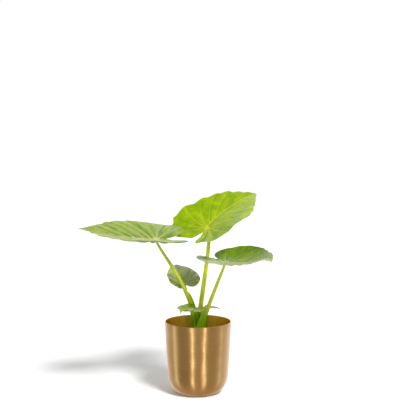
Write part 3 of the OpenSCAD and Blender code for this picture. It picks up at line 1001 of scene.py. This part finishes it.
def leaf_material(name, deep, fresh, vein_colour, edge_colour, sheen, see_through, rough=0.36,
                  strands=9):
    """A satin leaf skin: mottled from deep to fresh green, paler veins, a thin margin, and a painted
    sheen: pale streaks in the colour, partly the wax's own paler colour, so many strands from one
    vein to the next, thick where the stored wax and sheen amount is high."""
    material, tree = new_material(name)
    points = object_points(tree)
    grain = stored(tree, "grain", "Vector")
    parts = node(tree, "SeparateXYZ", {0: grain})
    order, out = parts.outputs["X"], parts.outputs["Y"]
    mottle = cloud(tree, points, 42, 4)
    blotch = cloud(tree, points, 14, 2)
    streaks = cloud(tree, scaled(tree, grain, (strands, 1.1, 1)), 1, 4, 0.6)
    green = mixed(tree, spread(tree, mottle, 0.3, 0.72), deep, fresh)
    green = mixed(tree, spread(tree, blotch, 0.42, 0.7, 0, 0.45), green, deep)
    # Painted sheen: the stored per-point amount (the wax's own paler colour plus painted sheen) mixes
    # the pale sheen colour into the base colour in streaks between the veins; it also raises the real
    # specular level.
    wax_and_sheen = stored(tree, "wax_and_sheen")
    sheen_streaks = spread(tree, reckon(tree, "ADD", streaks, reckon(tree, "MULTIPLY", wax_and_sheen, 0.24)),
                     0.60, 0.70)
    off_vein = reckon(tree, "PINGPONG", order, 0.5)
    wax_and_sheen_mask = reckon(tree, "MULTIPLY", spread(tree, off_vein, 0.30, 0.06), wax_and_sheen)
    wax_and_sheen_mask = reckon(tree, "MAXIMUM", reckon(tree, "MULTIPLY", wax_and_sheen_mask, 0.8), sheen_streaks)
    wax_and_sheen_mask = reckon(tree, "MULTIPLY", wax_and_sheen_mask, spread(tree, wax_and_sheen, 0, 1, 0.25, 0.56))
    green = mixed(tree, wax_and_sheen_mask, green, sheen)
    vein = stored(tree, "vein")
    veined = mixed(tree, spread(tree, vein, 0.25, 0.85, 0, 0.9), green, vein_colour)
    colour = mixed(tree, spread(tree, out, 0.985, 1.0), veined, edge_colour)
    net = node(tree, "TexVoronoi", {"Vector": scaled(tree, grain, (7, 9, 1)), "Scale": 1.6},
               feature="DISTANCE_TO_EDGE").outputs["Distance"]
    fine = bumped(tree, cloud(tree, points, 650, 2), 0.00012, 0.5)
    furrow = bumped(tree, streaks, 0.0011, 0.55, fine)
    cells = bumped(tree, spread(tree, net, 0.0, 0.12), 0.00022, 0.5, furrow)
    gloss = spread(tree, mottle, 0.3, 0.7, rough - 0.05, rough + 0.08)
    skin = node(tree, "BsdfPrincipled", {
        "Base Color": colour, "Roughness": gloss, "Normal": cells, "IOR": 1.45,
        "Specular IOR Level": spread(tree, wax_and_sheen, 0, 1, 0.2, 0.9)})
    glow = node(tree, "BsdfTranslucent", {
        "Color": mixed(tree, 1.0, colour, rgb(1.0, 1.0, 0.55), "MULTIPLY"), "Normal": cells})
    both = node(tree, "MixShader", {"Fac": see_through, 1: skin.outputs[0], 2: glow.outputs[0]})
    node(tree, "OutputMaterial", {"Surface": both.outputs[0]})
    return material


def stalk_material():
    """Juicy yellow-green stalks with lengthwise streaks, a tone per stalk that is partly painted
    light, greener on the sheaths, and darker and greener towards the foot, partly their own colour
    and partly painted shade by the pot's mouth.
    """
    material, tree = new_material("petiole_skin")
    grain = stored(tree, "grain", "Vector")
    points = object_points(tree)
    streaks = cloud(tree, scaled(tree, grain, (3.2, 3.2, 0.16)), 1, 4, 0.6)
    blotch = cloud(tree, scaled(tree, grain, (1, 1, 0.35)), 1, 2)
    colour = mixed(tree, spread(tree, streaks, 0.34, 0.66), rgb(0.44, 0.52, 0.006),
                   rgb(0.66, 0.71, 0.008))
    # Painted light: each stalk's tone brightens it (yellower for a younger stalk) or darkens it,
    # partly its own colour and partly painted light and shade, brightening a stalk in shade and
    # darkening one in the sun.
    tone = mixed(tree, stored(tree, "youth_and_painted_light"), rgb(0.62, 0.66, 0.8), rgb(1.28, 1.22, 0.7))
    colour = mixed(tree, 1.0, colour, tone, "MULTIPLY")
    colour = mixed(tree, spread(tree, blotch, 0.45, 0.75, 0, 0.5), colour, rgb(0.36, 0.50, 0.012))
    # Painted shade: below 0.268 m the colour darkens and turns greener down to the pot's mouth,
    # partly the stalks' own deeper green at the base.
    height = node(tree, "SeparateXYZ", {0: points}).outputs["Z"]
    colour = mixed(tree, spread(tree, height, 0.268, 0.226), colour, rgb(0.42, 0.72, 0.3),
                   "MULTIPLY")
    colour = mixed(tree, spread(tree, stored(tree, "sheath"), 0.25, 1.0, 0, 0.9), colour,
                   rgb(0.20, 0.36, 0.006))
    fine = bumped(tree, cloud(tree, points, 700, 2), 0.0001, 0.4)
    ribs = bumped(tree, streaks, 0.0009, 0.5, fine)
    surface(tree, {"Base Color": colour, "Roughness": 0.36, "Normal": ribs,
                   "Subsurface Weight": 0.4, "Subsurface Radius": (0.6, 1.0, 0.15),
                   "Subsurface Scale": 0.003})
    return material


def plant():
    """All six leaves, each a petiole with its blade."""
    stalk = stalk_material()
    new_top = leaf_material(
        "new_leaf_top", deep=rgb(0.22, 0.37, 0.002), fresh=rgb(0.40, 0.54, 0.003),
        vein_colour=rgb(0.66, 0.70, 0.05), edge_colour=rgb(0.55, 0.66, 0.04),
        sheen=rgb(0.58, 0.66, 0.14), see_through=0.34)
    new_under = leaf_material(
        "new_leaf_under", deep=rgb(0.22, 0.42, 0.03), fresh=rgb(0.36, 0.55, 0.05),
        vein_colour=rgb(0.55, 0.66, 0.10), edge_colour=rgb(0.50, 0.62, 0.06),
        sheen=rgb(0.40, 0.56, 0.12), see_through=0.34, rough=0.5)
    old_top = leaf_material(
        "leaf_top", deep=rgb(0.12, 0.24, 0.004), fresh=rgb(0.28, 0.38, 0.008),
        vein_colour=rgb(0.60, 0.60, 0.26), edge_colour=rgb(0.42, 0.50, 0.08),
        sheen=rgb(0.57, 0.55, 0.26), see_through=0.22, strands=6)
    old_under = leaf_material(
        "leaf_under", deep=rgb(0.12, 0.25, 0.04), fresh=rgb(0.20, 0.36, 0.06),
        vein_colour=rgb(0.45, 0.53, 0.20), edge_colour=rgb(0.34, 0.46, 0.12),
        sheen=rgb(0.28, 0.42, 0.14), see_through=0.22, rough=0.5)
    for name, leaf in LEAVES.items():
        petiole(name + "_stalk", STALKS[name], leaf, stalk)
        if name == "crown":
            blade(name + "_leaf", leaf, "new_leaf", new_top, new_under)
        else:
            blade(name + "_leaf", leaf, "leaf", old_top, old_under)


# ---- Studio -----------------------------------------------------------------

CAMERA_PLACE = (0.0302, -2.524, 0.731)
CAMERA_DIP = 3.9                    # degrees below level
CAMERA_LENS, SENSOR_WIDTH = 73.1, 36    # both in millimetres
KEY_HEADING, KEY_HEIGHT = 32, 47    # degrees: from the camera's side towards +X, and above level
KEY_SPREAD = 15                     # degrees across, which gives the shadow its soft edge
KEY_LEVEL = 3.2


def camera():
    """A studio camera a little higher than the plant, looking slightly down."""
    lens = bpy.data.cameras.new("camera")
    lens.sensor_width = SENSOR_WIDTH
    lens.lens = CAMERA_LENS
    made = bpy.data.objects.new("camera", lens)
    made.location = CAMERA_PLACE
    made.rotation_euler = (math.radians(90 - CAMERA_DIP), 0, 0)
    bpy.context.scene.collection.objects.link(made)
    bpy.context.scene.camera = made


def floor():
    """A plain white floor, just under the pot."""
    deselect()
    bpy.ops.mesh.primitive_plane_add(size=14, location=(0, 0, -0.0002))
    made = bpy.context.object
    made.name = "studio_floor"
    material, tree = new_material("studio_floor")
    paper = node(tree, "BsdfDiffuse", {"Color": rgb(0.9, 0.9, 0.9)})
    node(tree, "OutputMaterial", {"Surface": paper.outputs[0]})
    made.data.materials.append(material)
    made.visible_glossy = False


# Brightness and tint round the room, by heading in degrees from the camera's side towards +X
WARM, PLAIN, COOL = (1.0, 0.82, 0.62), (1.0, 1.0, 1.0), (1.0, 0.97, 1.12)
ROOM = [(-180, 1.15, COOL), (-150, 0.80, COOL), (-127, 0.55, COOL), (-112, 0.42, PLAIN),
        (-98, 0.50, PLAIN), (-93, 1.0, PLAIN), (-86, 1.0, PLAIN), (-80, 0.27, WARM),
        (-60, 0.22, WARM), (-34, 0.26, WARM), (-24, 0.42, WARM), (-22, 2.4, PLAIN),
        (-17, 2.4, PLAIN), (-14, 0.42, WARM), (3, 0.36, WARM), (19, 0.42, WARM),
        (21.5, 2.5, PLAIN), (26.5, 2.5, PLAIN), (29, 0.42, WARM), (45, 0.32, WARM),
        (66, 0.34, WARM), (84, 0.42, PLAIN), (88, 0.80, PLAIN), (94, 0.80, PLAIN),
        (100, 0.50, PLAIN), (118, 0.62, COOL), (150, 0.95, COOL), (180, 1.15, COOL)]
ROOM_PEAK = 2.5                     # the highest level in the list
UNDER = 0.42                        # level straight below
SKY_SIDE = 0.4                      # level above the horizon, but for the back
SKY_BACK = (1.9, 2.4)               # the same at the back, low and higher up
CEILING = (0.15, 1.5)               # level overhead, on the camera's side and at the back
FILL = (1.0, 0.52)                  # level that lights matt surfaces, from low and from high up


def room_light():
    """A white backdrop for the camera, a studio with bright strips for what shines, and a soft fill
    for the rest."""
    world = bpy.data.worlds.new("studio")
    bpy.context.scene.world = world
    world.use_nodes = True
    tree = world.node_tree
    tree.nodes.clear()
    way = node(tree, "SeparateXYZ", {0: node(tree, "TexCoord").outputs["Generated"]})
    toward = reckon(tree, "MULTIPLY", way.outputs["Y"], -1.0)
    heading = reckon(tree, "ARCTAN2", way.outputs["X"], toward)
    share = reckon(tree, "ADD", reckon(tree, "DIVIDE", heading, 2 * math.pi), 0.5)
    ramp = node(tree, "ValToRGB", {"Fac": share})
    stops = ramp.color_ramp.elements
    while len(stops) > 1:
        stops.remove(stops[0])
    for index, (degrees, level, tint) in enumerate(ROOM):
        stop = stops[0] if index == 0 else stops.new((degrees + 180) / 360)
        stop.position = (degrees + 180) / 360
        stop.color = rgb(*[level / ROOM_PEAK * part for part in tint])
    height = way.outputs["Z"]
    sides = scaled(tree, ramp.outputs["Color"], (ROOM_PEAK, ROOM_PEAK, ROOM_PEAK))
    below = rgb(*[UNDER * part for part in WARM])
    low = mixed(tree, spread(tree, height, -0.40, -0.95), sides, below)
    behind = spread(tree, reckon(tree, "ABSOLUTE", heading), math.radians(138), math.radians(168))
    back = spread(tree, height, 0.1, 0.5, *SKY_BACK)
    above = node(tree, "Mix", {0: behind, 2: SKY_SIDE, 3: back}, data_type="FLOAT").outputs[0]
    ceiling = spread(tree, way.outputs["Y"], 0.2, 0.45, *CEILING)
    above = node(tree, "Mix", {0: spread(tree, height, 0.70, 0.85), 2: above, 3: ceiling},
                 data_type="FLOAT").outputs[0]
    glossy = mixed(tree, spread(tree, height, 0.0, 0.05), low, above)
    fill = spread(tree, height, 0.1, 0.6, *FILL)
    rays = node(tree, "LightPath").outputs
    colour = mixed(tree, rays["Is Diffuse Ray"], glossy, fill)
    studio = node(tree, "Background", {"Color": colour, "Strength": 1.0})
    white = node(tree, "Background", {"Color": rgb(1, 1, 1), "Strength": 1.0})
    both = node(tree, "MixShader", {"Fac": rays["Is Camera Ray"], 1: studio.outputs[0],
                                    2: white.outputs[0]})
    node(tree, "OutputWorld", {"Surface": both.outputs[0]})


def key_light():
    """A soft key light from the front right, high up."""
    light = bpy.data.lights.new("key", "SUN")
    light.energy = KEY_LEVEL
    light.angle = math.radians(KEY_SPREAD)
    made = bpy.data.objects.new("key", light)
    heading, height = math.radians(KEY_HEADING), math.radians(KEY_HEIGHT)
    source = Vector((math.sin(heading) * math.cos(height), -math.cos(heading) * math.cos(height),
                     math.sin(height)))
    made.rotation_euler = source.to_track_quat("Z", "Y").to_euler()
    made.visible_glossy = False
    bpy.context.scene.collection.objects.link(made)


camera()
floor()
room_light()
key_light()
brass_pot(brass_material())
grower_pot(plastic_material())
potting_mix()
corm_and_roots()
plant()
bpy.context.scene.view_settings.view_transform = "Standard"
